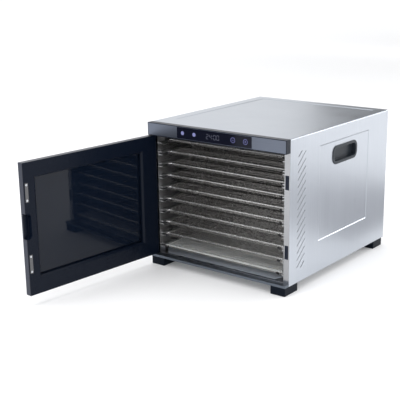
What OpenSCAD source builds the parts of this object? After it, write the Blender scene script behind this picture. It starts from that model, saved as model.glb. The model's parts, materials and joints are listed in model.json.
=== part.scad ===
// Cabinet food dehydrator with ten wire trays, a drip tray and a side-hung glass door.
// The origin is the centre of the base pan's underside: X to the right, Y to the back, Z up.

/* [Cabinet] */
// Outside width of the steel cabinet
cabinet_w = 392; // [340:4:480]
// Depth of the cabinet behind the door
cabinet_d = 452; // [410:4:560]
// Thickness of the folded steel sheet
sheet_t = 1; // [0.8:0.1:1.4]
// Outside radius of the folded top edges
fold_r = 3; // [2:0.5:6]
// Width of the front strips beside the opening
jamb_w = 15; // [13:1:22]
// Height of the front ledge under the door
ledge_h = 6; // [5:0.5:10]
// Depth of the fan space between the air baffle and the rear cover
fan_space_d = 80; // [72:2:100]
// How far the rear cover sits inside the rear edge
rear_inset = 3.2; // [2:0.2:6]

/* [Pressings] */
// Distance from the front edge to the pressed side panel
panel_y = 122; // [110:2:140]
// Distance from the pressed side panel to the rear edge
panel_rear = 99; // [60:1:120]
// Height of the lower edge of the pressed side panel
panel_z = 75; // [50:1:100]
// Distance from the top to the pressed side panel
panel_top = 35; // [25:1:50]
// Distance from the sides to the pressed top panel
top_panel_x = 28; // [20:1:40]
// Distance from the front edge to the pressed top panel
top_panel_y = 54; // [30:2:80]
// Distance from the pressed top panel to the rear edge
top_panel_rear = 24; // [20:1:60]
// Depth of the pressed panels
press_depth = 1.2; // [0.6:0.1:1.6]
// Width of the sloping border of the pressed panels
press_slope = 2.4; // [1.5:0.1:4]

/* [Louvres] */
// Length of one slanted vent slot
louvre_l = 42; // [24:1:48]
// Width of one slanted vent slot
louvre_w = 2; // [1.6:0.2:5]
// Slant of the vent slots
louvre_angle = 40; // [20:0.5:50]
// Height from one vent slot to the next
louvre_pitch = 16.9; // [14:0.1:22]
// Distance from the front edge to the middle of the vent column
louvre_y = 47; // [40:1:60]
// Distance from the bottom and top edges to the vent column
louvre_margin = 30; // [24:1:60]

/* [Trays] */
// Gap between a tray and the side of the opening
tray_gap = 5; // [4:0.5:7]
// Depth of a wire tray
tray_d = 336; // [300:4:340]
// Height from one tray to the next
tray_pitch = 29; // [24:1:36]
// Height of the lowest tray's wires
tray_low_z = 24; // [22:1:30]
// Room between the top tray's wires and the control housing
tray_headroom = 19; // [14:1:30]
// Thickness of a tray's rim wire
rim_wire = 4; // [3:0.5:5]
// Thickness of a tray's grid wires
grid_wire = 2; // [1.6:0.2:2.6]
// Spacing of the grid wires
grid_gap = 16; // [12:1:24]
// Corner radius of a tray
tray_corner_r = 10; // [6:1:20]
// How much deeper each tray is pushed in than the one below it
tray_step = 2.4; // [0:0.2:2.6]
// Running clearance between a tray and its runners
tray_clear = 0.4; // [0.3:0.1:1]
// How far the runners stand out from the side walls
runner_w = 10; // [9:1:13]
// Thickness of a runner
runner_t = 2; // [1.4:0.2:3]
// Thickness of the fruit mesh sheet
mesh_t = 0.8; // [0.5:0.1:1.5]
// Height of the drip tray's side walls
drip_h = 7; // [5:0.5:9]
// Length of the drip tray's sloping front lip
drip_lip = 22; // [14:1:30]
// Drop of the drip tray's front lip
drip_lip_drop = 5; // [2:0.5:6]

/* [Door] */
// Thickness of the door
door_t = 16; // [14:1:20]
// Gap between the closed door and the cabinet
door_gap = 0.6; // [0.4:0.1:1.5]
// Gap above and below the door
door_end_gap = 1; // [0.6:0.2:2]
// Angle at which the door stands open
door_open = 95; // [60:1:140]
// Width of the door frame on the latch side
latch_stile = 32; // [28:1:40]
// Width of the door frame on the hinge side
hinge_stile = 54; // [40:1:64]
// Height of the door frame above the glass
top_rail = 36; // [28:1:44]
// Height of the door frame below the glass
bottom_rail = 40; // [28:1:48]
// Thickness of the door glass
glass_t = 4; // [3:0.5:5]
// How far the frame laps over the edge of the glass
glass_lap = 8; // [5:1:12]
// Thickness of the door's steel skin
skin_t = 1; // [0.8:0.1:1.4]
// Radius of a hinge pin
pin_r = 2.5; // [2:0.25:3.5]
// Running clearance of a hinge pin in its bush
pin_clear = 0.03; // [0.02:0.01:0.08]
// How far a hinge pin reaches into the door
pin_reach = 15; // [12:1:24]
// Length of the finger recess in the latch edge
grip_l = 57; // [50:1:70]
// Width of the finger recess
grip_w = 14; // [12:1:18]
// Height of the middle of the finger recess above the door's lower edge
grip_z = 156; // [130:1:180]
// Length of a strike plate
strike_l = 42; // [34:1:50]
// Width of a strike plate
strike_w = 8; // [6:0.5:9]

/* [Control housing] */
// Height of the control housing
header_h = 31; // [28:1:44]
// Width of the black control glass
panel_glass_w = 212; // [190:2:260]
// Thickness of the fascia and of the control glass
fascia_t = 2; // [1.5:0.25:3]
// Wall of the control housing
housing_t = 1.6; // [1.2:0.2:2.4]
// Distance from the middle to the inner touch keys
key_inner = 55; // [45:1:70]
// Distance from the middle to the outer touch keys
key_outer = 89; // [80:1:94]
// Radius of a touch pad behind the glass
pad_r = 6; // [4:0.5:8]

/* [Side handles] */
// Length of a handle recess
handle_l = 104; // [90:2:140]
// Height of a handle recess
handle_h = 34; // [28:1:44]
// Distance from the front edge to the middle of a handle
handle_y = 238; // [200:1:280]
// Distance from the top to the middle of a handle
handle_top = 70; // [64:1:90]
// Width of a handle's flange
handle_rim = 5; // [4:0.5:9]

/* [Feet and fixings] */
// Height of the feet
foot_h = 20; // [12:1:30]
// Width of a foot
foot_w = 39; // [30:1:50]
// Length of a front foot
front_foot_l = 54; // [46:1:70]
// Length of a rear foot
rear_foot_l = 46; // [40:1:60]
// Radius of a screw shank
screw_r = 1.6; // [1.2:0.1:2.2]
// Radius of a screw head
head_r = 3.4; // [2.8:0.1:4]
// Length of a magnet catch
catch_l = 32; // [24:1:40]
// Radius of the bore of the cord gland
gland_bore_r = 3.6; // [3:0.1:5]

/* [Fan and heater] */
// Radius of the fan
fan_r = 78; // [60:1:90]
// Depth of the fan's vanes
vane_d = 16; // [10:1:20]
// Number of vanes
vane_count = 16; // [8:1:24]
// Radius of the motor
motor_r = 31; // [26:1:36]
// Length of the motor
motor_l = 34; // [26:1:36]
// Radius of the fan shaft
shaft_r = 3; // [2.5:0.25:4]
// Running clearance of the shaft in the motor
shaft_clear = 0.04; // [0.02:0.01:0.08]
// Radius of the heater ring
heater_r = 100; // [94:1:112]
// Radius of the heater tube
heater_tube_r = 3.2; // [2.5:0.1:4]

/* [Hidden] */
$fn = 64;
tray_count = 10;
eps = 0.5;

half_w = cabinet_w / 2;
jamb_t = 1.2;
y_front = -cabinet_d / 2;
y_rear = cabinet_d / 2;
tray_top_z = tray_low_z + (tray_count - 1) * tray_pitch;
header_z = tray_top_z + tray_headroom;
cabinet_h = header_z + header_h;
inner_x = half_w - sheet_t;
opening_x = half_w - jamb_w;
header_d = door_gap + door_t;
face_y = y_front - header_d;

floor_z = ledge_h + sheet_t;
rear_plate_y = y_rear - rear_inset - sheet_t;
baffle_y = rear_plate_y - fan_space_d - sheet_t;
fan_z = floor_z + (header_z - floor_z) / 2;
liner_y = y_front + jamb_t;
tray_w = 2 * (opening_x - tray_gap);
wall_gap = inner_x - opening_x - sheet_t;

door_z0 = ledge_h + door_end_gap;
door_z1 = header_z - door_end_gap;
door_in_y = y_front - door_gap;
hinge_r = door_t / 2;
hinge_x = -half_w + hinge_r;
hinge_y = door_in_y - hinge_r;
bush_r = pin_r + 2;
glass_x0 = -half_w + hinge_stile;
glass_x1 = half_w - latch_stile;
glass_z0 = door_z0 + bottom_rail;
glass_z1 = door_z1 - top_rail;
glass_y0 = face_y + skin_t;
skin_x = hinge_x + hinge_r + 1;
gasket_t = 0.8;
catch_zs = [door_z0 + 72, door_z0 + 231 * (door_z1 - door_z0) / 296];
strike_x = half_w - skin_t - 1.5 - strike_w;

tray_front = y_front + 2;
runner_y0 = y_front + 8;
runner_y1 = baffle_y - 4;
drip_z = floor_z + 1.2;
foot_screw_y = [y_front + 22, y_rear - 28];

function tray_z(i) = tray_low_z + (tray_count - 1 - i) * tray_pitch;
function tray_y(i) = tray_front + (tray_count - 1 - i) * tray_step;

// A deeper fan space shortens the trays, so that the highest one still clears the baffle
tray_l = min(tray_d, baffle_y - 2 - tray_y(0));

// ---- general shapes ----

// A box between two corners
module span(a, b) { translate(a) cube(b - a); }

// A flat outline in X and Z, drawn out from y0 to y1
module along_y(y0, y1) { translate([0, y1, 0]) rotate([90, 0, 0]) linear_extrude(y1 - y0) children(); }

// A flat outline in Y and Z, drawn out from x0 to x1
module along_x(x0, x1) { translate([x0, 0, 0]) rotate([90, 0, 90]) linear_extrude(x1 - x0) children(); }

// A rectangle with round corners, from corner a to corner b
module round_rect(a, b, r) {
    translate([a.x + r, a.y]) square([b.x - a.x - 2 * r, b.y - a.y]);
    translate([a.x, a.y + r]) square([b.x - a.x, b.y - a.y - 2 * r]);
    for (x = [a.x + r, b.x - r], y = [a.y + r, b.y - r]) translate([x, y]) circle(r);
}

// A slot with round ends, centred, along X
module slot(l, w) {
    square([l - w, w], center = true);
    for (s = [-1, 1]) translate([s * (l - w) / 2, 0]) circle(w / 2);
}

// A cylinder along Y from y0 to y1
module rod_y(x, z, y0, y1, r) { translate([x, y0, z]) rotate([-90, 0, 0]) cylinder(h = y1 - y0, r = r); }

// The hollow of a pressed panel, sloping inwards on all four sides. It starts at the plane z = 0
module pressing(a, b, depth, slope) {
    intersection() {
        rotate([90, 0, 0]) translate([0, 0, -b.y]) linear_extrude(b.y - a.y)
            polygon([[a.x, 0], [b.x, 0], [b.x - slope, -depth], [a.x + slope, -depth]]);
        rotate([90, 0, 90]) translate([0, 0, a.x]) linear_extrude(b.x - a.x)
            polygon([[a.y, 0], [b.y, 0], [b.y - slope, -depth], [a.y + slope, -depth]]);
    }
}

// Places a flat XY shape on the right-hand wall: its X runs to the back, its Y runs up, its Z points out
module on_right_wall(x) { translate([x, 0, 0]) rotate([90, 0, 90]) children(); }

module both_sides() { children(); mirror([1, 0, 0]) children(); }

// ---- cabinet ----

panel_a = [y_front + panel_y, panel_z];
panel_b = [y_rear - panel_rear, cabinet_h - panel_top];
top_a = [-half_w + top_panel_x, y_front + top_panel_y];
top_b = [half_w - top_panel_x, y_rear - top_panel_rear];
handle_c = [y_front + handle_y, cabinet_h - handle_top];
handle_r = 12;
louvre_rise = louvre_l * sin(louvre_angle);
louvre_count = floor((cabinet_h - 2 * louvre_margin - louvre_rise) / louvre_pitch) + 1;
louvre_z0 = cabinet_h / 2 - (louvre_count - 1) * louvre_pitch / 2;
flange_w = 13;

module wrapper_outline(inset) {
    r = fold_r - inset;
    x = half_w - inset;
    square([x, cabinet_h - inset - r]);
    square([x - r, cabinet_h - inset]);
    translate([x - r, cabinet_h - inset - r]) circle(r);
}

// The handle's outline on the side wall, grown by m
module handle_outline(m) {
    round_rect(handle_c - [handle_l / 2 + m, handle_h / 2 + m],
        handle_c + [handle_l / 2 + m, handle_h / 2 + m], handle_r + m);
}

module louvre_slots() {
    for (i = [0 : louvre_count - 1])
        translate([y_front + louvre_y, louvre_z0 + i * louvre_pitch]) rotate(louvre_angle)
            slot(louvre_l, louvre_w);
    half_l = louvre_l * 0.45;
    for (s = [-1, 1])
        translate([y_front + louvre_y, cabinet_h / 2 + s * louvre_count * louvre_pitch / 2
            + s * louvre_pitch / 2]) rotate(louvre_angle) translate([-s * half_l / 2, 0])
            slot(half_l, louvre_w);
}

// Screw positions on the rear cover
function rear_screw_xs() = [-inner_x + flange_w / 2, 0, inner_x - flange_w / 2];
function rear_screw_zs() = [flange_w, cabinet_h / 2, cabinet_h - sheet_t - flange_w / 2];

module at_rear_screws() {
    for (x = rear_screw_xs(), z = rear_screw_zs())
        if (x != 0 || z > cabinet_h / 2) translate([x, 0, z]) children();
}

// One folded sheet: the top and both sides, with an inward flange at the back
module outer_wrapper() {
    color([0.78, 0.80, 0.82]) difference() {
        union() {
            difference() {
                along_y(y_front, y_rear) { wrapper_outline(0); mirror([1, 0]) wrapper_outline(0); }
                along_y(y_front - eps, y_rear + eps) wrapper_inside();
                span([-inner_x, y_front - eps, -eps], [inner_x, y_rear + eps, eps]);
            }
            both_sides() on_right_wall(inner_x) pressing(panel_a, panel_b, press_depth, press_slope);
            translate([0, 0, cabinet_h - sheet_t]) pressing(top_a, top_b, press_depth, press_slope);
            difference() {
                along_y(rear_plate_y - sheet_t, rear_plate_y) wrapper_inside();
                span([-inner_x + flange_w, rear_plate_y - 2, -1],
                    [inner_x - flange_w, rear_plate_y + 1, cabinet_h - sheet_t - flange_w]);
            }
        }
        both_sides() on_right_wall(half_w) pressing(panel_a, panel_b, press_depth, press_slope);
        translate([0, 0, cabinet_h]) pressing(top_a, top_b, press_depth, press_slope);
        both_sides() along_x(inner_x - press_depth - 2, half_w + 1) { louvre_slots(); handle_outline(0); }
        at_rear_screws() rod_y(0, 0, rear_plate_y - 8, rear_plate_y + 1, screw_r);
    }
}

module wrapper_inside() {
    wrapper_outline(sheet_t);
    mirror([1, 0]) wrapper_outline(sheet_t);
}

foot_screw_x = half_w - foot_w / 2 - 1;

// Floor of the cabinet, a flat steel tray with turned-up edges
module base_pan() {
    lip = 4;
    color([0.62, 0.64, 0.66]) difference() {
        span([-inner_x, y_front, 0], [inner_x, rear_plate_y - sheet_t, lip]);
        span([-inner_x + sheet_t, y_front - 1, sheet_t],
            [inner_x - sheet_t, rear_plate_y - 2 * sheet_t, lip + 1]);
        for (x = [-foot_screw_x, foot_screw_x], y = foot_screw_y)
            translate([x, y, -1]) cylinder(h = 4, r = screw_r);
    }
}

gland_x = inner_x - 42;
gland_z = 34;
gland_body_r = gland_bore_r + 3;

module rear_vents() {
    for (ring = [0, 1], a = [0 : 15 : 345])
        rotate(a + ring * 7.5) translate([34 + ring * 27, 0]) slot(22, 4);
}

// Back of the cabinet: a flat sheet with a round field of vent slots behind the fan
module rear_cover() {
    fit = 0.5;
    color([0.66, 0.68, 0.70]) difference() {
        intersection() {
            along_y(rear_plate_y, rear_plate_y + sheet_t) wrapper_inside();
            span([-inner_x + fit, rear_plate_y - 1, sheet_t], [inner_x - fit, rear_plate_y + 3,
                cabinet_h - sheet_t - fit]);
        }
        along_y(rear_plate_y - 1, rear_plate_y + 3) translate([0, fan_z]) rear_vents();
        at_rear_screws() rod_y(0, 0, rear_plate_y - 1, rear_plate_y + 3, screw_r);
        rod_y(gland_x, gland_z, rear_plate_y - 1, rear_plate_y + 3, gland_body_r);
    }
}

// Pan-head screws that hold the rear cover to the wrapper's flange
module rear_screws() {
    color([0.55, 0.57, 0.60]) at_rear_screws() rotate([-90, 0, 0]) rotate_extrude()
        polygon([[0, rear_plate_y - 6], [screw_r, rear_plate_y - 6], [screw_r, rear_plate_y + sheet_t],
            [head_r, rear_plate_y + sheet_t], [head_r, rear_plate_y + sheet_t + 1],
            [head_r * 0.6, rear_plate_y + sheet_t + 2], [0, rear_plate_y + sheet_t + 2]]);
}

// Side wall of the drying chamber with a pair of runners for each tray
module side_liner() {
    rim = rim_wire / 2 + tray_clear;
    span([opening_x, liner_y, floor_z], [opening_x + sheet_t, baffle_y, header_z]);
    for (i = [0 : tray_count - 1]) {
        z = tray_z(i);
        span([opening_x - runner_w, runner_y0, z - rim - runner_t], [opening_x, runner_y1, z - rim]);
        if (i > 0)
            span([opening_x - runner_w, runner_y0, z + rim], [opening_x, runner_y1, z + rim + runner_t]);
    }
}

module liner_left() { color([0.60, 0.61, 0.63]) mirror([1, 0, 0]) side_liner(); }

module liner_right() { color([0.60, 0.61, 0.63]) side_liner(); }

// Roof of the drying chamber
module liner_top() {
    color([0.60, 0.61, 0.63])
        span([-opening_x - sheet_t, liner_y, header_z], [opening_x + sheet_t, baffle_y, header_z + sheet_t]);
}

// Floor of the drying chamber
module liner_floor() {
    color([0.60, 0.61, 0.63]) union() {
        span([-opening_x, y_front, ledge_h], [opening_x, baffle_y, floor_z]);
        span([-opening_x - sheet_t, liner_y, ledge_h], [opening_x + sheet_t, baffle_y, floor_z]);
    }
}

probe_x = -opening_x + 40;
probe_z = header_z - 30;
probe_r = 3;

// Rear wall of the drying chamber: rows of air slots round the fan's intake
module air_baffle() {
    cols = 9;
    col_gap = 2 * (opening_x - 20) / (cols - 1);
    x = inner_x - fold_r;
    color([0.58, 0.59, 0.61]) difference() {
        span([-x, baffle_y, sheet_t], [x, baffle_y + sheet_t, cabinet_h - sheet_t - press_depth]);
        along_y(baffle_y - 1, baffle_y + sheet_t + 1) {
            for (i = [0 : tray_count - 1], c = [0 : cols - 1]) {
                p = [-opening_x + 20 + c * col_gap, tray_z(i) + 10];
                if (norm(p - [0, fan_z]) > fan_r + 8 && norm(p - [probe_x, probe_z]) > 24)
                    translate(p) slot(26, 5);
            }
            translate([0, fan_z]) for (ring = [0, 1], a = [0 : 20 : 340])
                rotate(a + ring * 10) translate([27 + ring * 28, 0]) slot(24, 5);
        }
        rod_y(probe_x, probe_z, baffle_y - 1, baffle_y + sheet_t + 1, probe_r);
        rod_y(loom_x, loom_z, baffle_y - 1, baffle_y + sheet_t + 1, loom_r + 1);
    }
}

// Bright steel strip beside the opening, with a return against the wrapper
module jamb() {
    span([opening_x, y_front, ledge_h], [inner_x, liner_y, header_z]);
    span([inner_x - sheet_t, liner_y, ledge_h + sheet_t], [inner_x, liner_y + 9, header_z]);
}

module jamb_left() { color([0.70, 0.71, 0.73]) mirror([1, 0, 0]) jamb(); }

catch_x = [opening_x + 2.5, inner_x - 2];

// The latch-side strip has a window for each magnet catch
module jamb_right() {
    color([0.70, 0.71, 0.73]) difference() {
        jamb();
        for (z = catch_zs) span([catch_x[0], y_front - 1, z - catch_l / 2], [catch_x[1], liner_y + 1,
            z + catch_l / 2]);
    }
}

// Folded ledge under the door, level with the door's face
module front_sill() {
    run = 10;
    x = half_w - sheet_t;
    color([0.74, 0.75, 0.77]) difference() {
        union() {
            span([-half_w, face_y, ledge_h - sheet_t], [half_w, y_front, ledge_h]);
            span([-half_w, face_y, 0], [half_w, face_y + sheet_t, ledge_h]);
            for (s = [-half_w, x]) span([s, face_y, 0], [s + sheet_t, y_front, ledge_h]);
            span([-x, y_front, ledge_h - sheet_t], [x, y_front + run, ledge_h]);
            span([-x + sheet_t, y_front + run - sheet_t, sheet_t], [x - sheet_t, y_front + run, ledge_h]);
        }
        translate([hinge_x, hinge_y, -1]) cylinder(h = ledge_h + 2, r = pin_r);
    }
}

// ---- hinges and catches ----

plate_t = 3;

// Steel plates that hold the hinge pins: one under the ledge, one in the control housing
module hinge_plates() {
    color([0.45, 0.46, 0.48]) for (z = [ledge_h - sheet_t - plate_t, header_z + housing_t])
        difference() {
            span([-half_w + housing_t + 0.4, face_y + fascia_t + housing_t + 0.2, z],
                [hinge_x + 26, y_front - 0.4, z + plate_t]);
            translate([hinge_x, hinge_y, z - 1]) cylinder(h = plate_t + 2, r = pin_r);
        }
}

module hinge_pins() {
    z0 = ledge_h - sheet_t - plate_t;
    z1 = header_z + housing_t + plate_t;
    color([0.80, 0.81, 0.83]) translate([hinge_x, hinge_y, 0]) {
        translate([0, 0, z0]) cylinder(h = door_z0 + pin_reach - z0, r = pin_r);
        translate([0, 0, door_z1 - pin_reach]) cylinder(h = z1 - door_z1 + pin_reach, r = pin_r);
    }
}

// Magnet catches set into the latch-side strip
module magnet_catches() {
    color([0.07, 0.08, 0.09]) for (z = catch_zs) difference() {
        span([catch_x[0], y_front, z - catch_l / 2], [catch_x[1], liner_y + 9, z + catch_l / 2]);
        for (x = catch_x - [-2.2, 3.2])
            span([x, y_front - 1, z - catch_l / 2 + 3], [x + 1, y_front + 0.8, z + catch_l / 2 - 3]);
    }
}

// ---- control housing ----

window_x = panel_glass_w / 2 - 5;
glass_low = header_z + housing_t + 0.8;
glass_high = cabinet_h - housing_t - 0.8;
key_xs = [-key_outer, -key_inner, key_inner, key_outer];
key_z = header_z + header_h / 2;
pad_y0 = face_y + fascia_t;
board_y = pad_y0 + 5;

// Dark plastic housing above the door, open to the back
module control_housing() {
    color([0.10, 0.11, 0.13]) difference() {
        translate([-half_w, 0, header_z]) along_y(face_y, y_front)
            round_rect([0, 0], [cabinet_w, header_h], 1.2);
        span([-half_w + housing_t, face_y - 1, header_z + housing_t],
            [half_w - housing_t, face_y + fascia_t, cabinet_h - housing_t]);
        span([-half_w + housing_t, face_y + fascia_t + housing_t, header_z + housing_t],
            [half_w - housing_t, y_front + 1, cabinet_h - housing_t]);
        span([-window_x, face_y, header_z + 4], [window_x, y_front, cabinet_h - 4]);
        translate([hinge_x, hinge_y, header_z - 1]) cylinder(h = housing_t + 2, r = pin_r);
    }
}

// Brushed dark metal fascia with an opening for the control glass
module control_fascia() {
    color([0.36, 0.38, 0.42]) difference() {
        span([-half_w + housing_t, face_y, header_z + housing_t],
            [half_w - housing_t, face_y + fascia_t, cabinet_h - housing_t]);
        span([-panel_glass_w / 2, face_y - 1, glass_low],
            [panel_glass_w / 2, face_y + fascia_t + 1, glass_high]);
    }
}

module control_glass() {
    color([0.03, 0.035, 0.05]) span([-panel_glass_w / 2, face_y, glass_low],
        [panel_glass_w / 2, face_y + fascia_t, glass_high]);
}

// Four-digit display behind the glass
module display_module() {
    color([0.15, 0.16, 0.18])
        span([-22, pad_y0, key_z - 8], [22, board_y, key_z + 8]);
}

// Sprung touch pads between the board and the glass
module touch_pads() {
    color([0.75, 0.72, 0.60]) for (x = key_xs) rod_y(x, key_z, pad_y0, board_y, pad_r);
}

module control_board() {
    color([0.10, 0.32, 0.18]) union() {
        span([-window_x + 1, board_y, header_z + 5], [window_x - 1, board_y + 1.6, cabinet_h - 5]);
        span([-40, board_y + 1.6, header_z + 8], [-22, board_y + 5, cabinet_h - 9]);
        span([30, board_y + 1.6, header_z + 9], [48, board_y + 4, cabinet_h - 11]);
    }
}

// ---- electrics ----

power_a = [-inner_x + flange_w + 1, baffle_y + 22, 40];

// Power board on its side in the fan space, with its relay, capacitor and terminals
module power_board() {
    color([0.12, 0.35, 0.20]) translate(power_a) union() {
        cube([1.6, 46, 96]);
        translate([1.6, 6, 8]) cube([16, 18, 20]);
        translate([1.6, 28, 14]) cube([10, 12, 24]);
        translate([1.6, 12, 50]) rotate([0, 90, 0]) cylinder(h = 22, r = 7);
        translate([1.6, 6, 70]) cube([12, 34, 12]);
        for (z = [4, 84]) translate([0, 46, z]) cube([8, rear_plate_y - power_a.y - 46, 8]);
    }
}

loom_r = 2.5;
loom_x = power_a.x + 0.8;
loom_z = header_z + sheet_t + 8;
loom_turn_y = y_front + 20;

// Wires from the power board over the chamber to the control board
module wiring_loom() {
    y0 = power_a.y + 23;
    z0 = power_a.z + 96;
    y1 = board_y + 1.6;
    x1 = -60;
    color([0.75, 0.15, 0.12]) union() {
        translate([loom_x, y0, z0]) cylinder(h = loom_z - z0, r = loom_r);
        rod_y(loom_x, loom_z, loom_turn_y, y0, loom_r);
        translate([loom_x, loom_turn_y, loom_z]) rotate([0, 90, 0]) cylinder(h = x1 - loom_x, r = loom_r);
        rod_y(x1, loom_z, y1, loom_turn_y, loom_r);
        for (p = [[loom_x, y0], [loom_x, loom_turn_y], [x1, loom_turn_y]])
            translate([p.x, p.y, loom_z]) sphere(loom_r);
    }
}

// Air temperature probe through the rear wall of the chamber
module temperature_probe() {
    color([0.72, 0.73, 0.75]) translate([probe_x, baffle_y, probe_z]) rotate([-90, 0, 0]) rotate_extrude()
        polygon([[0, -1.5], [1.5, -1.5], [probe_r, -1], [probe_r, sheet_t], [7, sheet_t], [7, sheet_t + 3],
            [4, sheet_t + 3], [4, 22], [0, 22]]);
}

// Over-temperature switch on the hot side of the baffle
module thermal_cutout() {
    x = -probe_x;
    color([0.20, 0.21, 0.23]) translate([x, baffle_y + sheet_t, probe_z]) rotate([-90, 0, 0]) union() {
        translate([-14, -5, 0]) cube([28, 10, 1]);
        cylinder(h = 9, r = 8);
        for (s = [-5, 5]) translate([s - 1.5, -0.4, 9]) cube([3, 0.8, 7]);
    }
}

motor_y = rear_plate_y - 12 - motor_l;
fan_y = motor_y - 8 - vane_d;
shaft_y0 = fan_y - 4;

// Shaded-pole fan motor with a bored front bearing
module fan_motor() {
    color([0.30, 0.31, 0.33]) difference() {
        union() {
            rod_y(0, fan_z, motor_y, motor_y + motor_l, motor_r);
            rod_y(0, fan_z, motor_y - 4, motor_y, 9);
        }
        rod_y(0, fan_z, motor_y - 5, motor_y + 20, shaft_r + shaft_clear);
    }
}

// Steel bridge that carries the motor on the rear cover
module motor_bracket() {
    reach = motor_r + 14;
    y = motor_y + motor_l;
    color([0.60, 0.61, 0.63]) union() {
        span([-reach, y, fan_z - 12], [reach, y + 1.5, fan_z + 12]);
        for (s = [-reach, reach - 1.5])
            span([s, y, fan_z - 12], [s + 1.5, rear_plate_y, fan_z + 12]);
        for (s = [-reach - 12, reach])
            span([s, rear_plate_y - 1.5, fan_z - 12], [s + 12, rear_plate_y, fan_z + 12]);
    }
}

module fan_rotor() {
    color([0.72, 0.73, 0.75]) difference() {
        union() {
            rod_y(0, fan_z, fan_y + vane_d, fan_y + vane_d + 1.2, fan_r);
            rod_y(0, fan_z, fan_y, fan_y + vane_d + 1.2, 14);
            translate([0, 0, fan_z]) for (k = [0 : vane_count - 1])
                rotate([0, k * 360 / vane_count, 0])
                    span([fan_r * 0.42, fan_y, -0.6], [fan_r - 1, fan_y + vane_d, 0.6]);
        }
        rod_y(0, fan_z, fan_y - 1, fan_y + vane_d + 3, shaft_r);
    }
}

module fan_shaft() {
    color([0.80, 0.81, 0.83]) union() {
        rod_y(0, fan_z, shaft_y0, motor_y + 18, shaft_r);
        rod_y(0, fan_z, shaft_y0, fan_y, 6);
    }
}

heater_y = fan_y + vane_d / 2;
heater_gap = 20;

// Ring heater round the fan, with a terminal at each end turned to the back
module heater_element() {
    color([0.42, 0.38, 0.34]) translate([0, heater_y, fan_z]) union() {
        rotate([90, 0, 0]) rotate([0, 0, -90 + heater_gap / 2])
            rotate_extrude(angle = 360 - heater_gap) translate([heater_r, 0]) circle(heater_tube_r);
        for (s = [-1, 1]) {
            x = s * heater_r * sin(heater_gap / 2);
            z = -heater_r * cos(heater_gap / 2);
            translate([x, -heater_tube_r - 1, z]) rotate([-90, 0, 0]) cylinder(h = 28, r = heater_tube_r + 1);
        }
    }
}

// Straps that hold the heater ring off the baffle
module heater_clips() {
    y0 = baffle_y + sheet_t;
    r = heater_tube_r + 0.3;
    color([0.62, 0.63, 0.65]) for (a = [30, 150, 225, 315])
        translate([heater_r * cos(a), 0, fan_z + heater_r * sin(a)]) rotate([0, -a, 0]) difference() {
            span([-r - 1.2, y0, -4], [r + 1.2, heater_y + r + 1.2, 4]);
            translate([0, heater_y, -5]) cylinder(h = 10, r = r);
            span([-r, y0 + 1.2, -5], [r, heater_y - r - 1, 5]);
        }
}

// Bored gland where the supply cord enters
module cord_gland() {
    color([0.06, 0.06, 0.07]) translate([gland_x, rear_plate_y, gland_z]) rotate([-90, 0, 0])
        rotate_extrude() polygon([[gland_bore_r, -7], [gland_body_r, -7], [gland_body_r, sheet_t],
            [gland_body_r + 3, sheet_t], [gland_body_r + 3, sheet_t + 1.2], [gland_body_r, rear_inset + 2],
            [gland_bore_r, rear_inset + 2]]);
}

// ---- side handles and feet ----

cup_wall = 1.5;
cup_depth = wall_gap - 1.2;
hook = 7;

// Recessed grip: a flange on the pressed panel and a cup behind it that reaches up behind the sheet
module side_handle() {
    x0 = half_w - press_depth;
    back = inner_x - cup_depth;
    m = 0.3;
    difference() {
        union() {
            along_x(x0, x0 + 1.8) handle_outline(handle_rim);
            along_x(back, x0) handle_outline(-m);
            along_x(back, inner_x - press_depth - 0.3) cup_outline(0);
        }
        along_x(x0 - sheet_t - 1, x0 + 3) handle_outline(-m - cup_wall);
        along_x(back + cup_wall, inner_x - press_depth - 0.3 - cup_wall) cup_outline(cup_wall);
        along_x(back + cup_wall, x0 + 0.5) handle_outline(-m - cup_wall);
    }
}

// The cup's outline: the handle's, reaching up by the hook
module cup_outline(inset) {
    m = 0.3 + inset;
    round_rect(handle_c - [handle_l / 2 - m, handle_h / 2 - m],
        handle_c + [handle_l / 2 - m, handle_h / 2 + hook - m], handle_r - m);
}

module side_handle_left() { color([0.12, 0.13, 0.15]) mirror([1, 0, 0]) side_handle(); }

module side_handle_right() { color([0.12, 0.13, 0.15]) side_handle(); }

// Plastic foot with a recessed screw
module foot(y0, y1, screw_y) {
    x1 = half_w - 1;
    x0 = x1 - foot_w;
    r = 2;
    difference() {
        translate([0, 0, -foot_h]) linear_extrude(foot_h) round_rect([x0, y0], [x1, y1], r);
        translate([foot_screw_x, screw_y, -foot_h - 1]) cylinder(h = foot_h + 2, r = screw_r);
        translate([foot_screw_x, screw_y, -foot_h - 1]) cylinder(h = foot_h - 5, r = head_r + 1);
    }
}

module front_foot() { foot(face_y + 1, face_y + 1 + front_foot_l, foot_screw_y[0]); }

module rear_foot() { foot(y_rear - 6 - rear_foot_l, y_rear - 6, foot_screw_y[1]); }

module foot_front_left() { color([0.06, 0.07, 0.08]) mirror([1, 0, 0]) front_foot(); }

module foot_front_right() { color([0.06, 0.07, 0.08]) front_foot(); }

module foot_rear_left() { color([0.06, 0.07, 0.08]) mirror([1, 0, 0]) rear_foot(); }

module foot_rear_right() { color([0.06, 0.07, 0.08]) rear_foot(); }

module foot_screws() {
    color([0.55, 0.57, 0.60]) for (x = [-foot_screw_x, foot_screw_x], y = foot_screw_y)
        translate([x, y, 0]) union() {
            translate([0, 0, -6]) cylinder(h = 10, r = screw_r);
            translate([0, 0, -8.4]) cylinder(h = 2.4, r = head_r);
        }
}

// ---- door, drawn closed and swung open about its pins ----

module swung() {
    translate([hinge_x, hinge_y, 0]) rotate([0, 0, -door_open]) translate([-hinge_x, -hinge_y, 0])
        children();
}

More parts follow.
